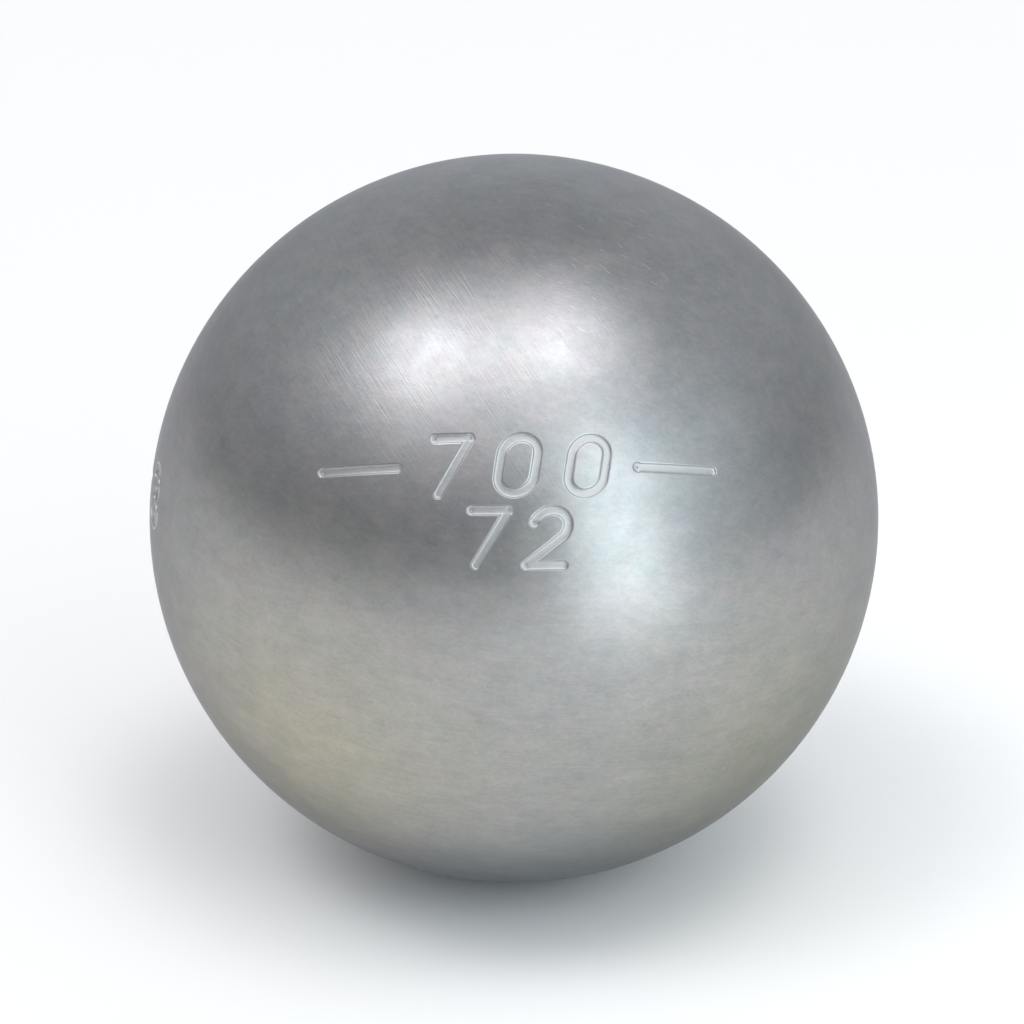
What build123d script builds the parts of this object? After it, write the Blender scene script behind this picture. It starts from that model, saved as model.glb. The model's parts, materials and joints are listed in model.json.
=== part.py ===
from build123d import *
import os
from math import cos, radians, sin, sqrt

# Petanque boule: two pressed steel half shells, butt welded round their bevelled rims and turned smooth.
# The origin is the ball's centre, z = 0 is the weld plane, and +Z is the axis of both half shells.

# Driving dimensions, in millimetres and degrees
OUTER_DIAMETER = 72.0    # of the finished ball
WALL = 6.6               # of both half shells, which makes a hollow ball of about 700 g
BEVEL_ANGLE = 30.0       # of each rim, measured from the weld plane
ROOT_FACE = 1.5          # flat of each rim, beside the hollow, that the bevel leaves
ROOT_GAP = 1.2           # between the two root faces
ROOT_RUN_DEPTH = 2.4     # that the first weld run fills above the root faces
ROOT_RUN_DISH = 0.35     # by which the first run's outer face is hollowed
ROOT_BEAD_WIDTH = 4.4    # of the ridge that the first run leaves inside the ball
ROOT_BEAD_HEIGHT = 0.8   # of that ridge, towards the ball's centre

# Sizes that follow from them
OUTER_RADIUS = OUTER_DIAMETER / 2
HOLLOW_RADIUS = OUTER_RADIUS - WALL
BEVEL_DIRECTION = Vector(cos(radians(BEVEL_ANGLE)), sin(radians(BEVEL_ANGLE)))


def on_circle(radius, height):
    """The point of a circle about the ball's centre that lies at a height above the weld plane."""
    return Vector(sqrt(radius**2 - height**2), height)


def along_bevel_to_circle(start, radius):
    """The point where the bevel from start meets a circle about the ball's centre."""
    along = start.dot(BEVEL_DIRECTION)
    return start + BEVEL_DIRECTION * (sqrt(along**2 - start.dot(start) + radius**2) - along)


def below(point):
    """The point's mirror image in the weld plane."""
    return Vector(point.X, -point.Y)


def arc_about_centre(start, end):
    """The arc about the ball's centre from start to end, which lie at the same radius."""
    middle = (start + end).normalized() * start.length
    return ThreePointArc(start, middle, end)


# Corners of the upper rim's section, as (distance from the axis, height above the weld plane)
RIM_INNER = on_circle(HOLLOW_RADIUS, ROOT_GAP / 2)
RIM_ROOT = RIM_INNER + Vector(ROOT_FACE, 0)
RIM_OUTER = along_bevel_to_circle(RIM_ROOT, OUTER_RADIUS)

# Edges of the weld runs' sections above the weld plane
RUN_EDGE = RIM_ROOT + BEVEL_DIRECTION * (ROOT_RUN_DEPTH / BEVEL_DIRECTION.X)
BEAD_EDGE = on_circle(HOLLOW_RADIUS, ROOT_BEAD_WIDTH / 2)
RUN_MIDDLE = Vector(RUN_EDGE.X - ROOT_RUN_DISH, 0)
BEAD_CREST = Vector(HOLLOW_RADIUS - ROOT_BEAD_HEIGHT, 0)


def turned(*outline):
    """The solid that a closed outline in the XZ plane sweeps in one full turn about Z."""
    return revolve(Plane.XZ * make_face(Curve() + list(outline)), Axis.Z)


def upper_half_shell():
    """Pressed half ball with its rim bevelled from the outside down to the root face."""
    outer_pole = Vector(0, OUTER_RADIUS)
    hollow_pole = Vector(0, HOLLOW_RADIUS)
    return turned(
        Line(RIM_INNER, RIM_ROOT),
        Line(RIM_ROOT, RIM_OUTER),
        arc_about_centre(RIM_OUTER, outer_pole),
        Line(outer_pole, hollow_pole),
        arc_about_centre(hollow_pole, RIM_INNER),
    )


def lower_half_shell():
    """The same pressing, turned over to face the upper one across the root gap."""
    return mirror(upper_half_shell(), Plane.XY)


def weld_root_run():
    """First weld run: it bridges the root gap and stands as a ridge inside the ball."""
    return turned(
        ThreePointArc(below(BEAD_EDGE), BEAD_CREST, BEAD_EDGE),
        arc_about_centre(BEAD_EDGE, RIM_INNER),
        Line(RIM_INNER, RIM_ROOT),
        Line(RIM_ROOT, RUN_EDGE),
        ThreePointArc(RUN_EDGE, RUN_MIDDLE, below(RUN_EDGE)),
        Line(below(RUN_EDGE), below(RIM_ROOT)),
        Line(below(RIM_ROOT), below(RIM_INNER)),
        arc_about_centre(below(RIM_INNER), below(BEAD_EDGE)),
    )


def weld_cap_run():
    """Second weld run: it fills the rest of the groove and is turned flush with the ball."""
    return turned(
        ThreePointArc(below(RUN_EDGE), RUN_MIDDLE, RUN_EDGE),
        Line(RUN_EDGE, RIM_OUTER),
        arc_about_centre(RIM_OUTER, below(RIM_OUTER)),
        Line(below(RIM_OUTER), below(RUN_EDGE)),
    )


PIECES = {
    "upper_half_shell": upper_half_shell(),
    "lower_half_shell": lower_half_shell(),
    "weld_root_run": weld_root_run(),
    "weld_cap_run": weld_cap_run(),
}

os.makedirs("parts", exist_ok=True)
for name, piece in PIECES.items():
    piece.label = name
    export_step(piece, f"parts/{name}.step")
    print(f"{name}: {piece.volume:.1f} mm3")
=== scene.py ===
import json
import logging
import math
from dataclasses import dataclass, field, replace
from enum import Enum
from typing import Any, ClassVar, Sequence

import bmesh
import bpy
from mathutils import Euler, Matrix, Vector
from mathutils.kdtree import KDTree

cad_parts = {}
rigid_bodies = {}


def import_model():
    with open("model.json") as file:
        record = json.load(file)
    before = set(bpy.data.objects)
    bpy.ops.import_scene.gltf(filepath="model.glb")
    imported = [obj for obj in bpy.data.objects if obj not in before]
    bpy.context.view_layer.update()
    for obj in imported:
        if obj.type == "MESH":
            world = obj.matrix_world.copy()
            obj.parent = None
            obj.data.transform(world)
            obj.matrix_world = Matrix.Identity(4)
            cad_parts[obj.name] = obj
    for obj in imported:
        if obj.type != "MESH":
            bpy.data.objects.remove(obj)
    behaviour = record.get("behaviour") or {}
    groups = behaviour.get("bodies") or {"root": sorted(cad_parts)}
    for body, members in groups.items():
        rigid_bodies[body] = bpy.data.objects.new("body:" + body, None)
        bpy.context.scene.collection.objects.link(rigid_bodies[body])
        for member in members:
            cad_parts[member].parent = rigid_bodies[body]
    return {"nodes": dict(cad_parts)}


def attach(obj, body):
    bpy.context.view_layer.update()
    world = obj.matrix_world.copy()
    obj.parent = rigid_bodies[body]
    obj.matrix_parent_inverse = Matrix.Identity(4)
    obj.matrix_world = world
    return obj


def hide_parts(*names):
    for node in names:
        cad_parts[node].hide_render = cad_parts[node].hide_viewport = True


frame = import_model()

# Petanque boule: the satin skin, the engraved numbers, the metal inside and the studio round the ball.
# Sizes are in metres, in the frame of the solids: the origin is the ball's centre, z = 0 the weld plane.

LOG = logging.getLogger("boule")
MM = 0.001
MICRON = 0.000001

Colour = tuple[float, ...]
Pair = tuple[float, float]
Stroke = tuple[list[Pair], bool]
Socket = bpy.types.NodeSocket


class Face(Enum):
    """The kinds of surface on the ball, in the order of a piece's material slots."""

    SKIN = 0
    CUT = 1
    HOLLOW = 2
    RIM = 3
    EDGE = 4


def way(azimuth: float, elevation: float) -> Vector:
    """The unit vector from the ball's centre to a place round it.

    Args:
        azimuth: Degrees from the front, positive to the right.
        elevation: Degrees above the horizon.

    Returns:
        The direction.
    """
    turn, tilt = math.radians(azimuth), math.radians(elevation)
    return Vector((math.sin(turn) * math.cos(tilt), -math.cos(turn) * math.cos(tilt), math.sin(tilt)))


def turn_to(axis: Vector) -> Euler:
    """The turn that lays a pattern's own X along an axis."""
    return axis.to_track_quat("X", "Z").to_euler()


class Value:
    """A number that varies over a surface: one output socket of a shader node."""

    def __init__(self, sheet: "ShaderSheet", socket: Socket) -> None:
        """Keeps the socket and the sheet that it belongs to."""
        self.sheet = sheet
        self.socket = socket

    def _math(self, operation: str, *operands: "Value | float") -> "Value":
        """Adds a Math node.

        Args:
            operation: The Math node's operation.
            operands: Values or numbers for its sockets, in order.

        Returns:
            The node's result.
        """
        return self.sheet.value("ShaderNodeMath", {"operation": operation}, dict(enumerate(operands)))

    def __add__(self, other: "Value | float") -> "Value":
        """Sum."""
        return self._math("ADD", self, other)

    def __radd__(self, other: float) -> "Value":
        """Sum with a number on the left."""
        return self._math("ADD", other, self)

    def __sub__(self, other: "Value | float") -> "Value":
        """Difference."""
        return self._math("SUBTRACT", self, other)

    def __rsub__(self, other: float) -> "Value":
        """Difference from a number."""
        return self._math("SUBTRACT", other, self)

    def __mul__(self, other: "Value | float") -> "Value":
        """Product."""
        return self._math("MULTIPLY", self, other)

    def __rmul__(self, other: float) -> "Value":
        """Product with a number on the left."""
        return self._math("MULTIPLY", other, self)

    def __abs__(self) -> "Value":
        """Size without sign."""
        return self._math("ABSOLUTE", self)

    def __gt__(self, other: "Value | float") -> "Value":
        """1 where this is the greater, otherwise 0."""
        return self._math("GREATER_THAN", self, other)

    def exp(self) -> "Value":
        """The exponential of this value."""
        return self._math("EXPONENT", self)

    def sine(self) -> "Value":
        """The sine of this value."""
        return self._math("SINE", self)


class ShaderSheet:
    """The node tree of one material or of the world."""

    def __init__(self, owner: bpy.types.Material | bpy.types.World) -> None:
        """Takes a new material or world and clears its tree."""
        owner.use_nodes = True
        self.owner = owner
        self.tree = owner.node_tree
        self.tree.nodes.clear()

    def node(
        self,
        kind: str,
        settings: dict[str, Any] | None = None,
        sockets: dict[str | int, Any] | None = None,
    ) -> bpy.types.Node:
        """Adds one node.

        Args:
            kind: The node's type.
            settings: Its properties.
            sockets: A Value, a socket or a plain value for each input, by name or number.

        Returns:
            The new node.
        """
        node = self.tree.nodes.new(kind)
        for name, setting in (settings or {}).items():
            setattr(node, name, setting)
        for key, given in (sockets or {}).items():
            source = given.socket if isinstance(given, Value) else given
            if isinstance(source, Socket):
                self.tree.links.new(source, node.inputs[key])
            else:
                node.inputs[key].default_value = source
        return node

    def value(
        self,
        kind: str,
        settings: dict[str, Any] | None = None,
        sockets: dict[str | int, Any] | None = None,
        output: str | int = 0,
    ) -> Value:
        """Adds one node and gives one of its outputs.

        Args:
            kind: The node's type.
            settings: As for node.
            sockets: As for node.
            output: Which output, by name or number.

        Returns:
            That output, for use in an expression.
        """
        return Value(self, self.node(kind, settings, sockets).outputs[output])

    def place(self) -> Socket:
        """The point on the piece, in metres from the ball's centre."""
        return self.node("ShaderNodeTexCoord").outputs["Object"]

    def texture(self, sizes: Sequence[float], turn: Sequence[float], shift: float, detail: float,
                fade: float = 0.55) -> bpy.types.Node:
        """Adds noise whose blotches have a real size.

        Args:
            sizes: Size of a blotch along each axis of the pattern, in metres.
            turn: Turn of the pattern about X, Y and Z, in radians.
            shift: Offset in metres, so that two patterns differ.
            detail: How many finer layers are added, each half the size of the one before.
            fade: How strong each of those layers is beside the one before.

        Returns:
            The noise, with a value and a colour about 0.5.
        """
        mapping = self.node(
            "ShaderNodeMapping",
            {"vector_type": "TEXTURE"},
            {"Vector": self.place(), "Location": (shift,) * 3, "Rotation": turn, "Scale": sizes},
        )
        return self.node(
            "ShaderNodeTexNoise",
            {"noise_dimensions": "3D"},
            {"Vector": mapping.outputs[0], "Scale": 1.0, "Detail": detail, "Roughness": fade},
        )

    def step(self, value: Value, low: float, high: float) -> Value:
        """A smooth rise from 0 to 1.

        Args:
            value: What is measured.
            low: Where the rise starts.
            high: Where it ends, which may be the lower of the two.

        Returns:
            The rise.
        """
        return self.value(
            "ShaderNodeMapRange",
            {"interpolation_type": "SMOOTHSTEP"},
            {"Value": value, "From Min": low, "From Max": high, "To Min": 0.0, "To Max": 1.0},
        )

    def mix(self, factor: Value, low: Colour | Socket, high: Colour | Socket) -> Socket:
        """Mixes two colours.

        Args:
            factor: 0 for the first colour, 1 for the second.
            low: The first colour.
            high: The second colour.

        Returns:
            The mixed colour.
        """
        # The node has sockets for each type of data: inputs 6 and 7 and output 2 are those for colours.
        return self.node("ShaderNodeMix", {"data_type": "RGBA"}, {0: factor, 6: low, 7: high}).outputs[2]

    def vector(self, operation: str, *operands: Any) -> Socket:
        """Adds a Vector Math node.

        Args:
            operation: The node's operation.
            operands: Vectors or sockets for its inputs, in order.

        Returns:
            The node's result, as a vector.
        """
        node = self.node("ShaderNodeVectorMath", {"operation": operation}, dict(enumerate(operands)))
        return node.outputs[0]

    def dot(self, reach: Socket, direction: Socket | Vector) -> Value:
        """How far a vector reaches along a direction."""
        sockets = {0: reach, 1: direction}
        return self.value("ShaderNodeVectorMath", {"operation": "DOT_PRODUCT"}, sockets, "Value")

    def scaled(self, colour: Socket | Colour, by: Value) -> Socket:
        """A colour times a number."""
        return self.node("ShaderNodeVectorMath", {"operation": "SCALE"}, {0: colour, 3: by}).outputs[0]

    def toward(self, direction: Vector, sharpness: float, ray: Socket) -> Value:
        """A soft patch round a direction.

        Args:
            direction: Unit vector to the patch's middle.
            sharpness: How fast the patch fades; its half width in degrees is about 67 over the square root.
            ray: Where the patch is looked up, as a unit vector.

        Returns:
            1 in the middle, fading to 0.
        """
        return ((self.dot(ray, direction) - 1.0) * sharpness).exp()

    def finish(self, colour: Socket, roughness: Value, height: Value,
               others: dict[str, Any] | None = None) -> bpy.types.Material:
        """Ends a metal: its shader, its relief and the output.

        Args:
            colour: The metal's colour.
            roughness: Its roughness.
            height: Its relief, in microns.
            others: Constants for the shader's other sockets.

        Returns:
            The material.
        """
        relief = self.node("ShaderNodeBump", {}, {"Strength": 1.0, "Distance": MICRON, "Height": height})
        normal = relief.outputs[0]
        sockets = {"Base Color": colour, "Metallic": 1.0, "Roughness": roughness, "Normal": normal}
        metal = self.node("ShaderNodeBsdfPrincipled", {}, sockets | (others or {}))
        self.node("ShaderNodeOutputMaterial", {}, {"Surface": metal.outputs[0]})
        return self.owner


@dataclass(frozen=True)
class Speckle:
    """Noise that is alike in all directions, with the relief in microns and the dullness that it adds."""

    size: float
    detail: float
    shift: float = 0.0
    relief: float = 0.0
    dulling: float = 0.0

    def pattern(self, sheet: ShaderSheet) -> Value:
        """The noise, as a value about 0.5."""
        noise = sheet.texture((self.size,) * 3, (0.0,) * 3, self.shift, self.detail)
        return Value(sheet, noise.outputs[0])


@dataclass(frozen=True)
class Brushing:
    """Lines that run round the ball about an axis, as a belt leaves them.

    The relief is in microns, and the shade is how much lighter and darker the lines make the metal. An edge
    gives the values of the pattern between which the relief rises: without one it follows the pattern.
    """

    axis: Vector
    width: float
    length: float
    shift: float
    relief: float
    shade: float = 0.0
    detail: float = 1.0
    edge: Pair | None = None

    def pattern(self, sheet: ShaderSheet) -> Value:
        """Noise drawn out into the lines, as a value about 0.5."""
        sizes = (self.width, self.length, self.length)
        return Value(sheet, sheet.texture(sizes, turn_to(self.axis), self.shift, self.detail).outputs[0])

    def height(self, lines: Value) -> Value:
        """The relief that the lines leave, in microns."""
        return self.relief * (lines.sheet.step(lines, *self.edge) if self.edge else lines)


@dataclass(frozen=True)
class Nicks:
    """Single short scratches that run more or less round the ball about an axis, at most one to a cell.

    The steadiness is how well they keep to that axis, and the shortening how much shorter the shortest are.
    The full width and length are the shares of the half width and half length that have the full depth.
    """

    axis: Vector
    cell: float = 1.5 * MM
    half_width: float = 0.05 * MM
    half_length: float = 1.1 * MM
    share: float = 0.3
    steadiness: float = 1.6
    shortening: float = 3.0
    full_width: float = 0.3
    full_length: float = 0.4
    relief: float = 3.0
    shine: float = 0.06

    def pattern(self, sheet: ShaderSheet) -> Value:
        """Draws the scratches.

        Args:
            sheet: The material's sheet.

        Returns:
            1 along a scratch, otherwise 0.
        """
        place = sheet.place()
        cells = sheet.node(
            "ShaderNodeTexVoronoi", {"voronoi_dimensions": "3D"}, {"Vector": place, "Scale": 1.0 / self.cell}
        )
        middle = cells.outputs["Position"]
        from_middle = sheet.vector("SUBTRACT", place, middle)
        chance = sheet.node("ShaderNodeTexWhiteNoise", {}, {"Vector": middle})
        steady = self.axis * self.steadiness - Vector((0.5, 0.5, 0.5))
        lean = sheet.vector("ADD", chance.outputs["Color"], steady)
        along = sheet.vector("NORMALIZE", sheet.vector("CROSS_PRODUCT", lean, place))
        across = sheet.vector("NORMALIZE", sheet.vector("CROSS_PRODUCT", along, place))
        off = abs(sheet.dot(from_middle, across))
        far = abs(sheet.dot(from_middle, along))
        draw = Value(sheet, chance.outputs["Value"])
        shorter = 1.0 + (1.0 - draw) * (self.shortening / self.share)
        in_width = sheet.step(off, self.half_width, self.full_width * self.half_width)
        in_length = sheet.step(far * shorter, self.half_length, self.full_length * self.half_length)
        return in_width * in_length * (draw > 1.0 - self.share)


@dataclass(frozen=True)
class Mottle:
    """Faint blotches of lighter, darker, warmer and cooler metal, drawn out about an axis."""

    axis: Vector
    width: float = 3.4 * MM
    length: float = 5.6 * MM
    shift: float = 0.53
    detail: float = 5.0
    light: float = 0.6
    hue: float = 0.17

    def tint(self, sheet: ShaderSheet) -> Socket:
        """Draws the blotches, as strong at every size.

        Args:
            sheet: The material's sheet.

        Returns:
            A colour about 1, to multiply the metal's own colour by.
        """
        sizes = (self.width, self.length, self.length)
        blotches = sheet.texture(sizes, turn_to(self.axis), self.shift, self.detail, fade=1.0)
        hues = sheet.vector(
            "MULTIPLY_ADD", blotches.outputs["Color"], (self.hue,) * 3, (1.0 - self.hue / 2,) * 3
        )
        return sheet.scaled(hues, 1.0 + self.light * (Value(sheet, blotches.outputs[0]) - 0.5))


TURNING_AXIS = way(90.0, 84.0)
STEEP_AXIS = way(102.5, 31.0)
SHALLOW_AXIS = way(136.0, 63.0)
UP = Vector((0.0, 0.0, 1.0))


@dataclass(frozen=True)
class LineAreas:
    """Where on the ball the turned lines and the steep and shallow belt scratches are strong.

    Each kind has a least share that it has everywhere. The turned lines grow between two heights, and the
    scratches towards a middle, partly in patches. The steep ones are lost where the shallow ones are strong.
    """

    patches: Speckle = Speckle(9 * MM, 1.0, 0.41)
    turned_least: float = 0.3
    turned_heights: Pair = (10 * MM, -12 * MM)
    steep_middle: Pair = (-27.0, 50.0)
    steep_sharpness: float = 11.0
    steep_least: float = 0.1
    steep_even: float = 0.5
    steep_patchy: float = 0.7
    steep_patches: Pair = (0.42, 0.6)
    steep_lost: float = 0.7
    shallow_middle: Pair = (30.0, 60.0)
    shallow_sharpness: float = 40.0
    shallow_least: float = 0.1
    shallow_patchy: float = 0.15
    shallow_patches: Pair = (0.52, 0.36)

    def shares(self, sheet: ShaderSheet, ray: Socket) -> tuple[Value, Value, Value]:
        """How strong each kind of line is at a point.

        Args:
            sheet: The material's sheet.
            ray: Unit vector from the ball's centre to the point.

        Returns:
            The shares of the turned lines, the steep scratches and the shallow ones.
        """
        patches = self.patches.pattern(sheet)
        most_steep = sheet.toward(way(*self.steep_middle), self.steep_sharpness, ray)
        most_shallow = sheet.toward(way(*self.shallow_middle), self.shallow_sharpness, ray)
        turned = self.turned_least + sheet.step(sheet.dot(sheet.place(), UP), *self.turned_heights)
        in_patches = self.steep_even + self.steep_patchy * sheet.step(patches, *self.steep_patches)
        steep = (self.steep_least + most_steep * in_patches) * (1.0 - self.steep_lost * most_shallow)
        out_of_patches = self.shallow_patchy * sheet.step(patches, *self.shallow_patches)
        shallow = self.shallow_least + out_of_patches + most_shallow
        return turned, steep, shallow


@dataclass(frozen=True)
class SatinSteel:
    """Turned and belt-finished outside of the ball, with the marks of a little use."""

    name: str = "satin_steel"
    cool: Colour = (0.355, 0.364, 0.372, 1.0)
    pink: Colour = (0.372, 0.364, 0.369, 1.0)
    pink_from: Pair = (0.32, 0.68)
    fresh: Colour = (0.6, 0.6, 0.6, 1.0)
    edge_tint: Colour = (0.6, 0.6, 0.61, 1.0)
    roughness: float = 0.28
    blotches: Speckle = Speckle(2.6 * MM, 3.0, 0.31, relief=4.0, dulling=0.12)
    grain: Speckle = Speckle(0.2 * MM, 1.0, 0.17, relief=2.4, dulling=0.08)
    grain_shade: float = 0.1
    turned: Brushing = Brushing(TURNING_AXIS, 0.11 * MM, 6 * MM, 0.05, relief=7.0, shade=0.15)
    steep: Brushing = Brushing(STEEP_AXIS, 0.12 * MM, 4.5 * MM, 0.11, relief=19.0, shade=0.1)
    dashes: Brushing = Brushing(
        STEEP_AXIS, 0.2 * MM, 2.6 * MM, 0.37, relief=-4.0, shade=0.14, detail=0.0, edge=(0.58, 0.76)
    )
    shallow: Brushing = Brushing(SHALLOW_AXIS, 0.12 * MM, 3.5 * MM, 0.23, relief=10.0, shade=0.16)
    nicks: Nicks = Nicks(SHALLOW_AXIS)
    mottle: Mottle = Mottle(TURNING_AXIS)
    areas: LineAreas = LineAreas()
    # Patches on the lower front where the floor is mirrored: a warm stain hue, with painted reflection of
    # the floor in them, lighter at the lower left, a little darker at the lower right and cooler at the
    # bottom.
    stains_and_painted_reflections: tuple[tuple[Pair, Colour], ...] = (
        ((-34.0, -22.0), (0.424, 0.402, 0.33, 1.0)),
        ((44.0, -27.0), (0.352, 0.349, 0.293, 1.0)),
        ((0.0, -66.0), (0.335, 0.358, 0.382, 1.0)),
    )
    stain_and_reflection_sharpness: float = 9.0

    def material(self) -> bpy.types.Material:
        """The finish as a material."""
        sheet = ShaderSheet(bpy.data.materials.new(self.name))
        ray = sheet.vector("NORMALIZE", sheet.place())
        blotches = self.blotches.pattern(sheet)
        grain = self.grain.pattern(sheet)
        turned_share, steep_share, shallow_share = self.areas.shares(sheet, ray)
        marks = self.nicks.pattern(sheet) * shallow_share
        height = self.blotches.relief * blotches + self.grain.relief * grain - self.nicks.relief * marks
        shade = 1.0 + self.grain_shade * (grain - 0.5)
        for brushing, share in (
            (self.turned, turned_share),
            (self.steep, steep_share),
            (self.dashes, steep_share),
            (self.shallow, shallow_share),
        ):
            lines = brushing.pattern(sheet)
            height = height + brushing.height(lines) * share
            shade = shade + brushing.shade * (lines - 0.5) * share
        dullness = self.blotches.dulling * blotches + self.grain.dulling * grain
        roughness = self.roughness + dullness - self.nicks.shine * marks
        skin = sheet.mix(sheet.step(blotches, *self.pink_from), self.cool, self.pink)
        # Tints the skin round each patch's middle with the stain hue and the painted floor reflection.
        for middle, tint in self.stains_and_painted_reflections:
            skin = sheet.mix(sheet.toward(way(*middle), self.stain_and_reflection_sharpness, ray), skin, tint)
        mottled = sheet.vector("MULTIPLY", sheet.scaled(skin, shade), self.mottle.tint(sheet))
        colour = sheet.mix(marks, mottled, self.fresh)
        return sheet.finish(colour, roughness, height, {"Specular Tint": self.edge_tint})


@dataclass(frozen=True)
class CutSteel:
    """Pale, dull walls of the engraved grooves, with the chatter of the cutter."""

    name: str = "cut_steel"
    light: Colour = (0.50, 0.50, 0.505, 1.0)
    dark: Colour = (0.41, 0.415, 0.42, 1.0)
    roughness: float = 0.45
    chatter: Brushing = Brushing(way(20.0, 75.0), 0.14 * MM, 0.8 * MM, 0.07, relief=8.0, detail=0.0)
    grime: Speckle = Speckle(0.5 * MM, 2.0, 0.2, relief=3.0, dulling=0.1)

    def material(self) -> bpy.types.Material:
        """The finish as a material."""
        sheet = ShaderSheet(bpy.data.materials.new(self.name))
        chatter = self.chatter.pattern(sheet)
        grime = self.grime.pattern(sheet)
        colour = sheet.mix(grime, self.dark, self.light)
        height = self.chatter.height(chatter) + self.grime.relief * grime
        return sheet.finish(colour, self.roughness + self.grime.dulling * grime, height)


@dataclass(frozen=True)
class RolledEdge:
    """Narrow edge beside the grooves, pressed down by the cutter and rubbed smooth."""

    name: str = "rolled_edge"
    light: Colour = (0.44, 0.44, 0.445, 1.0)
    dark: Colour = (0.36, 0.365, 0.37, 1.0)
    roughness: float = 0.34
    rub: Speckle = Speckle(0.4 * MM, 2.0, 0.27, relief=2.0, dulling=0.1)

    def material(self) -> bpy.types.Material:
        """The finish as a material."""
        sheet = ShaderSheet(bpy.data.materials.new(self.name))
        rub = self.rub.pattern(sheet)
        colour = sheet.mix(rub, self.dark, self.light)
        return sheet.finish(colour, self.roughness + self.rub.dulling * rub, self.rub.relief * rub)


@dataclass(frozen=True)
class PressedSteel:
    """Dull inside of the half shells, as the hot press leaves it."""

    name: str = "pressed_steel"
    scale: Colour = (0.09, 0.085, 0.085, 1.0)
    bare: Colour = (0.24, 0.225, 0.21, 1.0)
    bare_from: Pair = (0.42, 0.62)
    metallic: float = 0.8
    roughness: float = 0.52
    flakes: Speckle = Speckle(3 * MM, 4.0, relief=18.0)
    grain: Speckle = Speckle(0.4 * MM, 2.0, 0.3, relief=5.0, dulling=0.2)

    def material(self) -> bpy.types.Material:
        """The finish as a material."""
        sheet = ShaderSheet(bpy.data.materials.new(self.name))
        flakes = self.flakes.pattern(sheet)
        grain = self.grain.pattern(sheet)
        colour = sheet.mix(sheet.step(flakes, *self.bare_from), self.scale, self.bare)
        height = self.flakes.relief * flakes + self.grain.relief * grain
        roughness = self.roughness + self.grain.dulling * grain
        return sheet.finish(colour, roughness, height, {"Metallic": self.metallic})


@dataclass(frozen=True)
class WeldMetal:
    """Rippled weld bead, straw-coloured where it cooled in air."""

    name: str = "weld_metal"
    grey: Colour = (0.30, 0.295, 0.29, 1.0)
    straw: Colour = (0.33, 0.25, 0.15, 1.0)
    straw_from: Pair = (0.4, 0.65)
    roughness: float = 0.35
    ripples: float = 150.0
    ripple_relief: float = 40.0
    stain: Speckle = Speckle(4 * MM, 3.0, relief=20.0, dulling=0.2)

    def material(self) -> bpy.types.Material:
        """The finish as a material."""
        sheet = ShaderSheet(bpy.data.materials.new(self.name))
        parts = sheet.node("ShaderNodeSeparateXYZ", {}, {0: sheet.place()}).outputs
        around = sheet.value("ShaderNodeMath", {"operation": "ARCTAN2"}, {0: parts["Y"], 1: parts["X"]})
        ripple = (around * self.ripples).sine()
        stain = self.stain.pattern(sheet)
        colour = sheet.mix(sheet.step(stain, *self.straw_from), self.grey, self.straw)
        height = self.ripple_relief * ripple + self.stain.relief * stain
        return sheet.finish(colour, self.roughness + self.stain.dulling * stain, height)


@dataclass(frozen=True)
class GroundSteel:
    """Bevels and root faces of the rims, ground before welding."""

    name: str = "ground_steel"
    light: Colour = (0.46, 0.46, 0.46, 1.0)
    dark: Colour = (0.36, 0.36, 0.365, 1.0)
    roughness: float = 0.4
    dulling: float = 0.1
    grinding: Brushing = Brushing(UP, 0.1 * MM, 4 * MM, 0.0, relief=3.0)

    def material(self) -> bpy.types.Material:
        """The finish as a material."""
        sheet = ShaderSheet(bpy.data.materials.new(self.name))
        lines = self.grinding.pattern(sheet)
        colour = sheet.mix(lines, self.dark, self.light)
        return sheet.finish(colour, self.roughness + self.dulling * lines, self.grinding.height(lines))


class Finishes:
    """The ball's materials, each made once."""

    # How far out of the ball a face looks, as a cosine, and the slack on the hollow's radius
    SKIN_FACING: ClassVar[float] = 0.999
    HOLLOW_FACING: ClassVar[float] = -0.9
    HOLLOW_SLACK: ClassVar[float] = 0.1 * MM

    def __init__(self) -> None:
        """Makes the materials, by the surface that they go on."""
        self.weld = WeldMetal().material()
        self.by_face = {
            Face.SKIN: SatinSteel().material(),
            Face.CUT: CutSteel().material(),
            Face.HOLLOW: PressedSteel().material(),
            Face.RIM: GroundSteel().material(),
            Face.EDGE: RolledEdge().material(),
        }

    def dress(self, piece: bpy.types.Object, hollow_radius: float) -> None:
        """Gives each face of a turned piece the finish of its surface, by the way that it faces.

        Args:
            piece: A shell or a weld run, before it is engraved.
            hollow_radius: Radius of the hollow in the ball.
        """
        for face in Face:
            piece.data.materials.append(self.by_face[face])
        for polygon in piece.data.polygons:
            facing = polygon.normal.dot(polygon.center.normalized())
            inside = polygon.center.length < hollow_radius + self.HOLLOW_SLACK
            face = Face.RIM
            if facing > self.SKIN_FACING:
                face = Face.SKIN
            elif inside and facing < self.HOLLOW_FACING:
                face = Face.HOLLOW
            polygon.material_index = face.value


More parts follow.
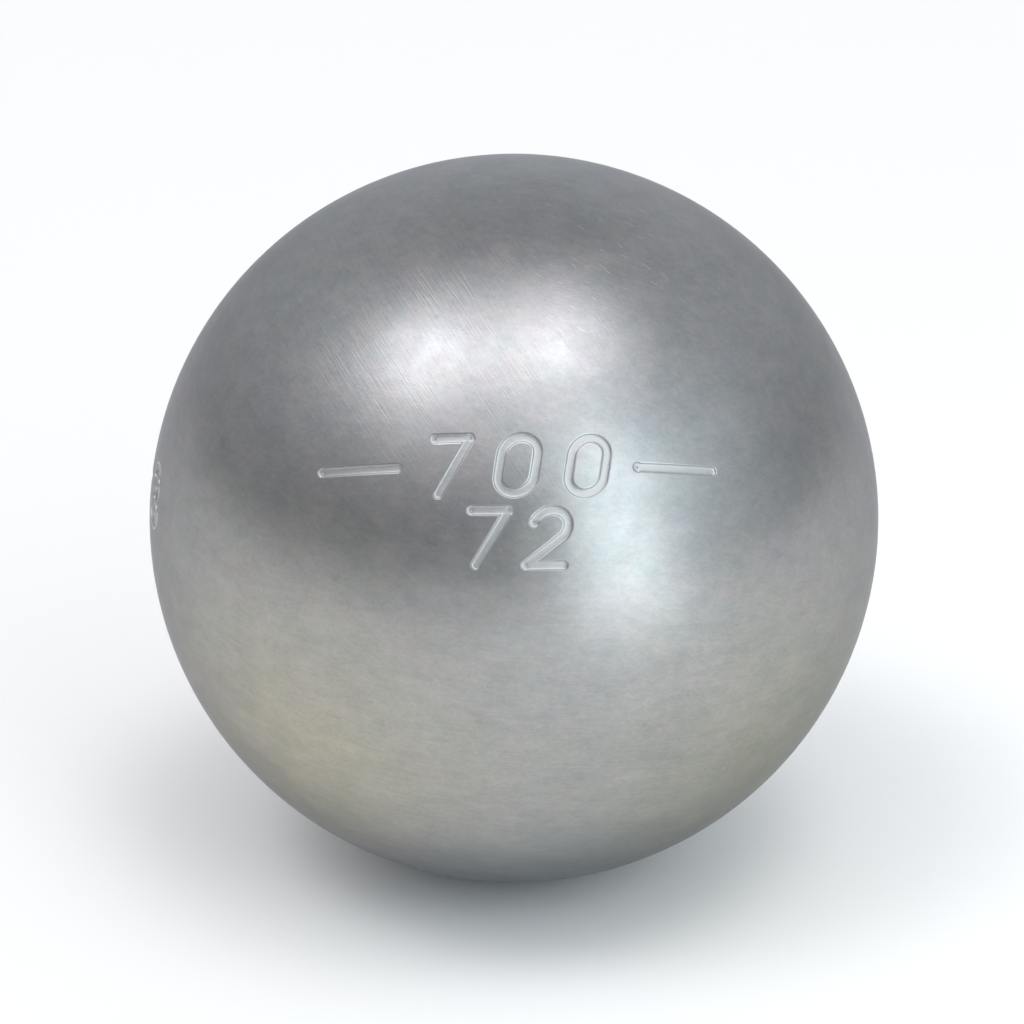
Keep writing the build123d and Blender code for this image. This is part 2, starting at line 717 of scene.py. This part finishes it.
class Bench:
    """Hand tools. Those without a piece act on the mesh that is open in edit mode."""

    @staticmethod
    def clear() -> None:
        """Leaves edit mode and selects nothing."""
        if bpy.context.object and bpy.context.object.mode != "OBJECT":
            bpy.ops.object.mode_set(mode="OBJECT")
        bpy.ops.object.select_all(action="DESELECT")

    @staticmethod
    def take(piece: bpy.types.Object) -> None:
        """Selects one piece and makes it active."""
        Bench.clear()
        piece.select_set(True)
        bpy.context.view_layer.objects.active = piece

    @staticmethod
    def start_section(name: str, point: Pair) -> bpy.types.Object:
        """Starts a turned piece as the first point of its section and opens it.

        Args:
            name: The piece's name.
            point: Radius and height of the point.

        Returns:
            The piece, in edit mode.
        """
        Bench.clear()
        bpy.ops.mesh.primitive_plane_add(size=MM)
        piece = bpy.context.object
        piece.name = name
        piece.data.name = name
        bpy.ops.object.mode_set(mode="EDIT")
        bpy.ops.mesh.select_mode(type="VERT")
        bpy.ops.mesh.select_all(action="SELECT")
        bpy.ops.mesh.merge(type="CENTER")
        bpy.ops.transform.translate(value=(point[0], 0, point[1]))
        return piece

    @staticmethod
    def draw_line(start: Pair, end: Pair) -> None:
        """Draws the section on from its end by a straight line, given as radii and heights."""
        move = (end[0] - start[0], 0, end[1] - start[1])
        bpy.ops.mesh.extrude_vertices_move(TRANSFORM_OT_translate={"value": move})

    @staticmethod
    def draw_arc(centre: float, angle: float, steps: int) -> None:
        """Draws the section on from its end by an arc.

        Args:
            centre: Radius at which the arc's centre lies, on the weld plane.
            angle: Angle of the arc, positive from the pole towards the rim.
            steps: Straight steps in the arc.
        """
        bpy.ops.mesh.spin(steps=steps, angle=angle, center=(centre, 0, 0), axis=(0, -1, 0))

    @staticmethod
    def turn(segments: int) -> None:
        """Turns the section about Z into a closed piece with outward faces, and closes edit mode."""
        bpy.ops.mesh.select_all(action="SELECT")
        bpy.ops.mesh.remove_doubles(threshold=MICRON)
        bpy.ops.mesh.spin(steps=segments, angle=2 * math.pi, center=(0, 0, 0), axis=(0, 0, 1))
        Bench.face_outwards()

    @staticmethod
    def face_outwards() -> None:
        """Merges doubles, turns all faces outwards and closes edit mode."""
        bpy.ops.mesh.select_all(action="SELECT")
        bpy.ops.mesh.remove_doubles(threshold=MICRON)
        bpy.ops.mesh.normals_make_consistent(inside=False)
        bpy.ops.object.mode_set(mode="OBJECT")

    @staticmethod
    def merge_slivers(piece: bpy.types.Object) -> None:
        """Merges the points of a piece that lie less than a micron apart."""
        Bench.take(piece)
        bpy.ops.object.mode_set(mode="EDIT")
        Bench.face_outwards()

    @staticmethod
    def turn_over(piece: bpy.types.Object, name: str) -> bpy.types.Object:
        """Copies a piece, with a mesh of its own, and mirrors the copy in the weld plane.

        Args:
            piece: The piece to copy.
            name: The copy's name.

        Returns:
            The copy.
        """
        Bench.take(piece)
        bpy.ops.object.duplicate(linked=False)
        copy = bpy.context.object
        copy.name = name
        copy.data.name = name
        bpy.ops.object.mode_set(mode="EDIT")
        bpy.ops.mesh.select_all(action="SELECT")
        bpy.ops.transform.resize(value=(1, 1, -1), center_override=(0, 0, 0))
        Bench.face_outwards()
        return copy

    @staticmethod
    def open_edges(piece: bpy.types.Object) -> int:
        """Counts the edges of a piece that don't have two faces."""
        check = bmesh.new()
        check.from_mesh(piece.data)
        count = sum(not edge.is_manifold for edge in check.edges)
        check.free()
        return count


@dataclass(frozen=True)
class WeldJoint:
    """Section of the welded rim: the sizes that the shells and the weld runs share."""

    outer_radius: float = 36.0 * MM
    hollow_radius: float = 29.4 * MM
    bevel: float = math.radians(30.0)
    root_face: float = 1.5 * MM
    root_gap: float = 1.2 * MM
    root_run_depth: float = 2.4 * MM
    root_run_dish: float = 0.35 * MM

    @property
    def rim_inner(self) -> Pair:
        """Radius and height of the rim's edge in the hollow."""
        height = self.root_gap / 2
        return math.sqrt(self.hollow_radius**2 - height**2), height

    @property
    def rim_root(self) -> Pair:
        """Radius and height of the edge between root face and bevel."""
        return self.rim_inner[0] + self.root_face, self.rim_inner[1]

    @property
    def rim_outer(self) -> Pair:
        """Radius and height of the bevel's edge on the outside of the ball."""
        start = Vector(self.rim_root)
        slope = Vector((math.cos(self.bevel), math.sin(self.bevel)))
        along = start.dot(slope)
        end = start + slope * (math.sqrt(along**2 - start.dot(start) + self.outer_radius**2) - along)
        return end.x, end.y

    @property
    def run_edge(self) -> Pair:
        """Radius and height of the edge where the cap run starts on the bevel."""
        radius, height = self.rim_root
        return radius + self.root_run_depth, height + self.root_run_depth * math.tan(self.bevel)


class Glyph(Enum):
    """The engraved figures, each as strokes in a box of width 1 and height 1."""

    ZERO = "0"
    TWO = "2"
    THREE = "3"
    SEVEN = "7"
    DASH = "-"

    def strokes(self) -> list[Stroke]:
        """The strokes of this figure.

        Returns:
            Each stroke's points, and whether it closes on itself.
        """
        if self is Glyph.ZERO:
            top = self._arc((0.5, 0.69), (0.5, 0.31), 180, 0)
            foot = self._arc((0.5, 0.31), (0.5, 0.31), 0, -180)
            return [(top + foot, True)]
        if self is Glyph.TWO:
            bow = self._arc((0.49, 0.7), (0.47, 0.3), 165, -35)
            return [(bow + [(0.0, 0.0)], False), ([(0.0, 0.0), (1.0, 0.0)], False)]
        if self is Glyph.THREE:
            top = self._arc((0.45, 0.76), (0.45, 0.24), 155, -90)
            foot = self._arc((0.45, 0.26), (0.55, 0.26), 90, -155)
            return [(top, False), (foot, False)]
        if self is Glyph.SEVEN:
            return [([(0.0, 1.0), (1.0, 1.0)], False), ([(1.0, 1.0), (0.34, 0.0)], False)]
        return [([(0.0, 0.5), (1.0, 0.5)], False)]

    @staticmethod
    def _arc(middle: Pair, radii: Pair, start: float, end: float,
             steps: int = 32) -> list[Pair]:
        """Points along part of an oval.

        Args:
            middle: Middle of the oval.
            radii: Its half width and half height.
            start: Angle of the first point, in degrees.
            end: Angle of the last point.
            steps: How many steps lie between them.

        Returns:
            The points.
        """
        angles = [math.radians(start + (end - start) * step / steps) for step in range(steps + 1)]
        return [
            (middle[0] + radii[0] * math.cos(angle), middle[1] + radii[1] * math.sin(angle))
            for angle in angles
        ]


@dataclass(frozen=True)
class MarkLine:
    """One engraved line of figures, laid on the ball about a place on its skin."""

    figures: tuple[Glyph, ...]
    longitude: float
    latitude: float
    height: float
    width: float
    gap: float
    dash: float = 7.2 * MM
    weight: float = 1.0
    slant: float = math.radians(9.0)

    def strokes(self) -> list[Stroke]:
        """The line's strokes, flat, in metres from its middle, each with whether it closes."""
        widths = [self.dash if figure is Glyph.DASH else self.width for figure in self.figures]
        left = -(sum(widths) + self.gap * (len(widths) - 1)) / 2
        laid = []
        for figure, width in zip(self.figures, widths):
            for points, closed in figure.strokes():
                flat = [(left + x * width, (y - 0.5) * self.height) for x, y in points]
                laid.append(([(x + y * math.tan(self.slant), y) for x, y in flat], closed))
            left += width + self.gap
        return laid

    def on_ball(self, points: Sequence[Sequence[float]], ball: float) -> list[Vector]:
        """The directions from the ball's centre to flat points that are wrapped on the ball.

        Args:
            points: Flat points, right and up from the line's middle.
            ball: Radius of the ball.

        Returns:
            A unit vector for each.
        """
        middle = way(self.longitude, self.latitude)
        right = way(self.longitude + 90.0, 0.0)
        up = middle.cross(right)
        outs = []
        for x, y in points:
            angle = math.hypot(x, y) / ball
            move = (right * x + up * y).normalized()
            outs.append(middle * math.cos(angle) + move * math.sin(angle))
        return outs


@dataclass(frozen=True)
class Nose:
    """A cutter's nose: the oval that it cuts, square to its way, flatter below the squarer it is."""

    half_width: float
    depth: float
    lift: float = 0.02 * MM
    squareness: float = 3.0

    def times(self, weight: float) -> "Nose":
        """A nose of the same shape that is larger by a factor."""
        return replace(self, half_width=self.half_width * weight, depth=self.depth * weight)

    @property
    def half_height(self) -> float:
        """Half height of the oval, whose middle lies a little above the skin."""
        return self.depth + self.lift

    def height(self, round_height: float) -> float:
        """The height above the skin of a place on the nose.

        Args:
            round_height: The height of the place on a round bar of the same width.

        Returns:
            The height, less than zero under the skin.
        """
        aside = math.sqrt(max(0.0, 1.0 - (round_height / self.half_width) ** 2))
        rise = (1.0 - aside**self.squareness) ** (1.0 / self.squareness)
        return self.lift + math.copysign(rise * self.half_height, round_height)

    def wall(self, across: Vector, out: Vector, height: float) -> tuple[float, Vector]:
        """The wall that this nose cuts at a place.

        Args:
            across: From the cutter's way to the place, along the skin.
            out: Out of the ball.
            height: Height of the place above the skin.

        Returns:
            How far the place is from that wall, as a share of the oval, and the wall's normal.
        """
        aside = across.length / self.half_width
        rise = (height - self.lift) / self.half_height
        power = self.squareness
        misfit = abs((aside**power + abs(rise) ** power) ** (1.0 / power) - 1.0)
        lean = across.normalized() * (aside ** (power - 1.0) / self.half_width)
        floor = out * math.copysign(abs(rise) ** (power - 1.0) / self.half_height, rise)
        return misfit, -(lean + floor).normalized()


class GrooveWalls:
    """The cutter's ways over the ball, from which the grooves' true normals come."""

    def __init__(self, ball: float) -> None:
        """Starts with no ways on a ball of a radius."""
        self.ball = ball
        self.ways: dict[Nose, list[Vector]] = {}
        self.trees: dict[Nose, KDTree] = {}

    def add(self, nose: Nose, places: list[Vector]) -> None:
        """Adds a way of a nose, as close points on the skin."""
        self.ways.setdefault(nose, []).extend(places)

    def settle(self) -> None:
        """Makes the ways ready for searching."""
        for nose, places in self.ways.items():
            tree = KDTree(len(places))
            for number, place in enumerate(places):
                tree.insert(place, number)
            tree.balance()
            self.trees[nose] = tree

    def normal(self, place: Vector) -> Vector:
        """The normal of the groove wall at a place.

        Args:
            place: A point on the wall.

        Returns:
            A unit vector out of the metal.
        """
        out = place.normalized()
        on_skin = out * self.ball
        walls = []
        for nose, tree in self.trees.items():
            across = on_skin - tree.find(on_skin)[0]
            walls.append(nose.wall(across - out * across.dot(out), out, place.length - self.ball))
        return min(walls, key=lambda wall: wall[0])[1]


@dataclass
class Engraving:
    """The engraved figures, cut by noses that are swept through the skin along their strokes."""

    joint: WeldJoint
    lines: tuple[MarkLine, ...] = (
        MarkLine(
            (Glyph.DASH, Glyph.SEVEN, Glyph.ZERO, Glyph.ZERO, Glyph.DASH),
            longitude=0.6, latitude=27.2, height=4.8 * MM, width=3.1 * MM, gap=2.9 * MM,
        ),
        MarkLine(
            (Glyph.SEVEN, Glyph.TWO),
            longitude=0.5, latitude=17.3, height=4.7 * MM, width=3.2 * MM, gap=2.2 * MM,
        ),
        MarkLine(
            (Glyph.TWO, Glyph.DASH, Glyph.THREE),
            longitude=-85.0, latitude=9.2, height=5.1 * MM, width=3.5 * MM, gap=2.4 * MM,
            dash=4.4 * MM, weight=1.4, slant=0.0,
        ),
    )
    edge: Nose = Nose(0.66 * MM, 0.055 * MM, lift=0.1 * MM, squareness=2.0)
    stroke: Nose = Nose(0.4 * MM, 0.2 * MM)
    bulb: Nose = Nose(0.47 * MM, 0.215 * MM)
    pit: Nose = Nose(0.15 * MM, 0.29 * MM)
    sweep_step: float = 0.12 * MM
    fine_step: float = 0.01 * MM
    least_steps: int = 4
    end_angles: range = range(12, 85, 12)
    bar_resolution: int = 14
    plunge_segments: int = 32
    plunge_rings: int = 20
    crease: float = math.radians(24.0)
    corner_inset: float = 0.1
    finishes: Finishes | None = field(default=None, init=False)
    cutters: bpy.types.Collection | None = field(default=None, init=False)
    walls: dict[Face, GrooveWalls] = field(init=False)

    def build(self, finishes: Finishes) -> None:
        """Sweeps the cutter along all strokes.

        Args:
            finishes: The ball's materials, with those that the cut leaves.
        """
        self.finishes = finishes
        self.walls = {face: GrooveWalls(self.joint.outer_radius) for face in (Face.EDGE, Face.CUT)}
        self.cutters = bpy.data.collections.new("cutter_sweeps")
        bpy.context.scene.collection.children.link(self.cutters)
        for line in self.lines:
            for points, closed in line.strokes():
                for face, nose in ((Face.EDGE, self.edge), (Face.CUT, self.stroke)):
                    nose = nose.times(line.weight)
                    sweep = self._sweep(self._walk(points, closed, self.sweep_step), closed, nose)
                    self._lay(sweep, line, nose, self._walk(points, closed, self.fine_step), face)
                for nose in () if closed else (self.bulb.times(line.weight), self.pit.times(line.weight)):
                    self._lay(self._plunge(points[0], nose), line, nose, points[:1], Face.CUT)
        for walls in self.walls.values():
            walls.settle()

    def _walk(self, points: list[Pair], closed: bool, step: float) -> list[Pair]:
        """Points at even steps along a stroke.

        Args:
            points: The stroke's corners.
            closed: Whether it returns to its first point.
            step: About how long a step is.

        Returns:
            The steps.
        """
        corners = [Vector(point) for point in (points + points[:1] if closed else points)]
        ends = zip(corners, corners[1:])
        legs = [(start, end, (end - start).length) for start, end in ends if start != end]
        total = sum(length for _, _, length in legs)
        count = max(self.least_steps, round(total / step))
        steps = []
        leg, done = 0, 0.0
        for number in range(count if closed else count + 1):
            along = total * number / count
            while leg < len(legs) - 1 and along > done + legs[leg][2]:
                done += legs[leg][2]
                leg += 1
            start, end, length = legs[leg]
            steps.append(tuple(start.lerp(end, min(1.0, (along - done) / length))))
        return steps

    def _sweep(self, path: list[Pair], closed: bool, nose: Nose) -> bpy.types.Object:
        """A round bar as wide as a nose along a stroke, with round ends.

        Args:
            path: Steps along the stroke.
            closed: Whether it returns to its first point.
            nose: The nose.

        Returns:
            The bar, flat on z = 0.
        """
        steps = [Vector((*point, 0.0)) for point in path]
        radii = [1.0] * len(steps)
        if not closed:
            angles = [math.radians(angle) for angle in self.end_angles]
            first = (steps[0] - steps[1]).normalized() * nose.half_width
            last = (steps[-1] - steps[-2]).normalized() * nose.half_width
            narrowing = [math.cos(angle) for angle in angles]
            reach = [math.sin(angle) for angle in angles]
            radii = narrowing[::-1] + radii + narrowing
            before = [steps[0] + first * share for share in reversed(reach)]
            steps = before + steps + [steps[-1] + last * share for share in reach]
        curve = bpy.data.curves.new("sweep", "CURVE")
        curve.dimensions = "3D"
        curve.bevel_depth = nose.half_width
        curve.bevel_resolution = self.bar_resolution
        curve.use_fill_caps = not closed
        spline = curve.splines.new("POLY")
        spline.points.add(len(steps) - 1)
        for point, place, radius in zip(spline.points, steps, radii):
            point.co = (*place, 1.0)
            point.radius = radius
        spline.use_cyclic_u = closed
        sweep = bpy.data.objects.new("sweep", curve)
        bpy.context.scene.collection.objects.link(sweep)
        Bench.take(sweep)
        bpy.ops.object.convert(target="MESH")
        return sweep

    def _plunge(self, point: Pair, nose: Nose) -> bpy.types.Object:
        """A ball as wide as a nose, where the nose goes straight down.

        Args:
            point: Where it goes down.
            nose: The nose.

        Returns:
            The ball, with its middle on z = 0.
        """
        Bench.clear()
        bpy.ops.mesh.primitive_uv_sphere_add(
            segments=self.plunge_segments, ring_count=self.plunge_rings, radius=nose.half_width
        )
        plunge = bpy.context.object
        bpy.ops.object.mode_set(mode="EDIT")
        bpy.ops.transform.translate(value=(*point, 0.0))
        bpy.ops.object.mode_set(mode="OBJECT")
        return plunge

    def _lay(self, shape: bpy.types.Object, line: MarkLine, nose: Nose, path: list[Pair],
             face: Face) -> None:
        """Gives a round shape the section of a nose, wraps it on the ball and keeps it with the others.

        Args:
            shape: The round shape, flat on z = 0.
            line: The line of figures that it belongs to.
            nose: The nose.
            path: The nose's way, as close flat points.
            face: The kind of surface that the cut leaves.
        """
        ball = self.joint.outer_radius
        heights = [nose.height(vertex.co.z) for vertex in shape.data.vertices]
        outs = line.on_ball([vertex.co.xy for vertex in shape.data.vertices], ball)
        for vertex, out, height in zip(shape.data.vertices, outs, heights):
            vertex.co = out * (ball + height)
        Bench.take(shape)
        bpy.ops.object.mode_set(mode="EDIT")
        Bench.face_outwards()
        self.walls[face].add(nose, [out * ball for out in line.on_ball(path, ball)])
        shape.data.materials.append(self.finishes.by_face[face])
        for other in list(shape.users_collection):
            other.objects.unlink(shape)
        self.cutters.objects.link(shape)

    def cut(self, piece: bpy.types.Object) -> None:
        """Takes the swept shapes out of a piece.

        Args:
            piece: The piece.
        """
        Bench.take(piece)
        groove = piece.modifiers.new("engraving", "BOOLEAN")
        groove.operation = "DIFFERENCE"
        groove.operand_type = "COLLECTION"
        groove.collection = self.cutters
        groove.solver = "MANIFOLD"
        groove.material_mode = "TRANSFER"
        bpy.ops.object.modifier_apply(modifier=groove.name)

    def smooth(self, piece: bpy.types.Object) -> None:
        """Smooths an engraved piece: its skin as a true ball, its grooves as their cutters left them.

        Args:
            piece: The piece.
        """
        Bench.take(piece)
        bpy.ops.object.shade_smooth_by_angle(angle=self.crease)
        mesh = piece.data
        normals = [(0.0, 0.0, 0.0)] * len(mesh.loops)
        for polygon in mesh.polygons:
            face = Face(polygon.material_index)
            for loop in polygon.loop_indices:
                corner = mesh.vertices[mesh.loops[loop].vertex_index].co
                if face is Face.SKIN:
                    normals[loop] = corner.normalized()
                elif face in self.walls:
                    # A little inside its face, a corner finds the wall that the face belongs to.
                    place = corner.lerp(polygon.center, self.corner_inset)
                    normals[loop] = self.walls[face].normal(place)
        mesh.normals_split_custom_set(normals)

    def put_away(self) -> None:
        """Deletes the swept shapes."""
        for shape in list(self.cutters.objects):
            bpy.data.objects.remove(shape)
        bpy.data.collections.remove(self.cutters)


@dataclass
class HalfShell:
    """A pressed half ball, with its bevelled rim and its hollow."""

    joint: WeldJoint
    name: str = "upper_half_shell_skin"
    segments: int = 360
    skin_steps: int = 85
    hollow_steps: int = 36

    def build(self, finishes: Finishes) -> bpy.types.Object:
        """Turns the upper shell from its section: skin, bevel, root face and hollow.

        Args:
            finishes: The ball's materials.

        Returns:
            The piece.
        """
        joint = self.joint
        piece = Bench.start_section(self.name, (0.0, joint.outer_radius))
        Bench.draw_arc(0.0, math.acos(joint.rim_outer[1] / joint.outer_radius), self.skin_steps)
        Bench.draw_line(joint.rim_outer, joint.rim_root)
        Bench.draw_line(joint.rim_root, joint.rim_inner)
        Bench.draw_arc(0.0, -math.acos(joint.rim_inner[1] / joint.hollow_radius), self.hollow_steps)
        Bench.turn(self.segments)
        finishes.dress(piece, joint.hollow_radius)
        return piece


@dataclass
class WeldCap:
    """The outer weld run, turned flush with the ball."""

    joint: WeldJoint
    name: str = "weld_cap_run_skin"
    segments: int = 360
    skin_steps: int = 12
    dish_steps: int = 8

    def build(self, finishes: Finishes) -> bpy.types.Object:
        """Turns the run from its section: skin, lower bevel, dished root and upper bevel.

        Args:
            finishes: The ball's materials.

        Returns:
            The piece.
        """
        joint = self.joint
        radius, height = joint.rim_outer
        run_radius, run_height = joint.run_edge
        dish = joint.root_run_dish
        dish_radius = (run_height**2 + dish**2) / (2 * dish)
        piece = Bench.start_section(self.name, (radius, height))
        Bench.draw_arc(0.0, 2 * math.asin(height / joint.outer_radius), self.skin_steps)
        Bench.draw_line((radius, -height), (run_radius, -run_height))
        dish_angle = 2 * math.asin(run_height / dish_radius)
        Bench.draw_arc(run_radius - dish + dish_radius, dish_angle, self.dish_steps)
        Bench.draw_line((run_radius, run_height), (radius, height))
        Bench.turn(self.segments)
        finishes.dress(piece, joint.hollow_radius)
        return piece


LAMP_WHITE = (1.0, 0.99, 1.02)
CEILING = (0.99, 0.99, 1.02)
PALE_WALL = (0.96, 0.99, 1.02)
WINDOW_BLUE = (0.88, 1.0, 1.03)


@dataclass(frozen=True)
class Softbox:
    """A soft lamp that stands on the floor and faces the ball."""

    name: str
    azimuth: float
    distance: float
    width: float
    top: float
    brightness: float
    colour: Colour = WINDOW_BLUE
    # An area lamp of four watts to the square metre is as bright as a room of strength one.
    watts: ClassVar[float] = 4.0

    def build(self, floor: float) -> bpy.types.Object:
        """Stands the lamp up.

        Args:
            floor: Height of the floor.

        Returns:
            The lamp.
        """
        out = way(self.azimuth, 0.0)
        height = self.top - floor
        Bench.clear()
        bpy.ops.object.light_add(
            type="AREA",
            location=(out.x * self.distance, out.y * self.distance, floor + height / 2),
            rotation=out.to_track_quat("Z", "Y").to_euler(),
        )
        lamp = bpy.context.object
        lamp.name = self.name
        lamp.data.shape = "RECTANGLE"
        lamp.data.size = self.width
        lamp.data.size_y = height
        lamp.data.energy = self.brightness * self.watts * self.width * height
        lamp.data.color = self.colour
        lamp.visible_camera = False
        return lamp


@dataclass(frozen=True)
class Glow:
    """A soft bright patch of the room round the ball, such as a ceiling lamp behind a diffuser."""

    azimuth: float
    elevation: float
    sharpness: float
    strength: float
    colour: Colour

    def light(self, sheet: ShaderSheet) -> Socket:
        """Adds the patch to the room's sheet.

        Args:
            sheet: The world's sheet.

        Returns:
            Its light, as a colour.
        """
        ray = sheet.node("ShaderNodeTexCoord").outputs["Generated"]
        light = sheet.toward(way(self.azimuth, self.elevation), self.sharpness, ray) * self.strength
        return sheet.scaled(self.colour, light)


@dataclass(frozen=True)
class Studio:
    """Pale floor, softly lit room and the camera."""

    ball_radius: float
    floor_size: float = 20.0
    floor_colour: Colour = (0.962, 0.956, 0.944, 1.0)
    glows: tuple[Glow, ...] = (
        # The bright end of the room behind the ball, and its corners
        Glow(180.0, 10.0, 1.5, 0.50, PALE_WALL),
        Glow(180.0, 14.0, 14.0, 0.55, (0.92, 0.99, 1.05)),
        Glow(135.0, 36.0, 6.0, 0.25, PALE_WALL),
        Glow(-135.0, 36.0, 6.0, 0.18, PALE_WALL),
        Glow(138.0, 12.0, 16.0, 0.2, PALE_WALL),
        Glow(-138.0, 12.0, 16.0, 0.2, PALE_WALL),
        # The walls at its sides
        Glow(90.0, 38.0, 10.0, 0.29, (0.94, 1.0, 1.03)),
        Glow(-90.0, 38.0, 10.0, 0.46, PALE_WALL),
        Glow(58.0, 23.0, 10.5, 0.92, (0.87, 1.0, 1.06)),
        # The wall and the ceiling above the camera
        Glow(-20.0, 16.0, 8.0, 0.09, PALE_WALL),
        Glow(-6.0, 54.0, 13.0, 1.15, CEILING),
        Glow(-45.0, 40.0, 12.0, 0.32, CEILING),
        # The two ceiling lamps
        Glow(-57.0, 61.5, 56.0, 6.2, LAMP_WHITE),
        Glow(38.0, 72.0, 46.0, 5.8, LAMP_WHITE),
    )
    windows: tuple[Softbox, ...] = (
        Softbox("near_window", 31.0, distance=0.22, width=0.09, top=0.2, brightness=1.48),
        Softbox("far_window", 28.0, distance=0.4, width=0.16, top=0.477, brightness=0.95),
    )
    elevation: float = 20.0
    lens: float = 85.0
    sensor: float = 36.0
    nearest: float = 0.01
    image: float = 1024.0
    ball_pixels: float = 364.4
    ball_middle: Pair = (514.0, 518.0)

    def build(self) -> None:
        """Sets up the whole studio."""
        self._floor()
        self._room()
        for window in self.windows:
            window.build(-self.ball_radius)
        self._camera()
        bpy.context.scene.view_settings.view_transform = "Standard"

    def _floor(self) -> None:
        """Lays the floor that the ball stands on."""
        Bench.clear()
        bpy.ops.mesh.primitive_plane_add(size=self.floor_size, location=(0, 0, -self.ball_radius))
        floor = bpy.context.object
        floor.name = "studio_floor"
        sheet = ShaderSheet(bpy.data.materials.new("floor_paper"))
        paper = sheet.node("ShaderNodeBsdfDiffuse", {}, {"Color": self.floor_colour})
        sheet.node("ShaderNodeOutputMaterial", {}, {"Surface": paper.outputs[0]})
        floor.data.materials.append(sheet.owner)

    def _room(self) -> None:
        """Lights the ball softly from all round, by the sum of the glows."""
        world = bpy.data.worlds.new("soft_room")
        bpy.context.scene.world = world
        sheet = ShaderSheet(world)
        lights = [glow.light(sheet) for glow in self.glows]
        total = lights[0]
        for light in lights[1:]:
            total = sheet.vector("ADD", total, light)
        room = sheet.node("ShaderNodeBackground", {}, {"Color": total})
        sheet.node("ShaderNodeOutputWorld", {}, {"Surface": room.outputs[0]})

    def _camera(self) -> None:
        """Aims the camera so that the ball fills the picture as it does in the photograph."""
        half_view = math.atan(self.ball_pixels / self.image * self.sensor / self.lens)
        out = way(0.0, self.elevation)
        Bench.clear()
        bpy.ops.object.camera_add(
            location=out * (self.ball_radius / math.sin(half_view)),
            rotation=out.to_track_quat("Z", "Y").to_euler(),
        )
        camera = bpy.context.object
        camera.name = "photo_camera"
        camera.data.lens = self.lens
        camera.data.sensor_width = self.sensor
        camera.data.clip_start = self.nearest
        camera.data.shift_x = (self.image / 2 - self.ball_middle[0]) / self.image
        camera.data.shift_y = (self.ball_middle[1] - self.image / 2) / self.image
        bpy.context.scene.camera = camera


class Boule:
    """The whole ball."""

    def __init__(self) -> None:
        """Makes the finishes and plans the pieces."""
        self.joint = WeldJoint()
        self.finishes = Finishes()
        self.engraving = Engraving(self.joint)

    def build(self) -> None:
        """Models the pieces, engraves them and ties them to the solids that they stand for."""
        self.engraving.build(self.finishes)
        upper = HalfShell(self.joint).build(self.finishes)
        lower = Bench.turn_over(upper, "lower_half_shell_skin")
        cap = WeldCap(self.joint).build(self.finishes)
        for piece in (upper, lower, cap):
            self.engraving.cut(piece)
        # The cut leaves slivers where strokes cross: with these figures, on the upper shell alone.
        Bench.merge_slivers(upper)
        for piece, node, slot in (
            (upper, "upper_half_shell", "shell_steel"),
            (lower, "lower_half_shell", "shell_steel"),
            (cap, "weld_cap_run", "weld_metal"),
        ):
            self.engraving.smooth(piece)
            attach(piece, "root")
            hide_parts(node)
            faces, open_edges = len(piece.data.polygons), Bench.open_edges(piece)
            LOG.info("%s: %d faces, %d open edges", piece.name, faces, open_edges)
        self.engraving.put_away()
        self._dress_root_run()

    def _dress_root_run(self) -> None:
        """Gives the solid of the inner weld run its finish."""
        bead = frame["nodes"]["weld_root_run"]
        bead.data.materials.clear()
        bead.data.materials.append(self.finishes.weld)
        LOG.info("weld_root_run: solid kept, dressed as weld metal")


def main() -> None:
    """Builds the ball and the studio."""
    logging.basicConfig(level=logging.INFO, format="%(name)s: %(message)s")
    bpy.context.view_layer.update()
    boule = Boule()
    boule.build()
    Studio(boule.joint.outer_radius).build()


if __name__ == "__main__":
    main()
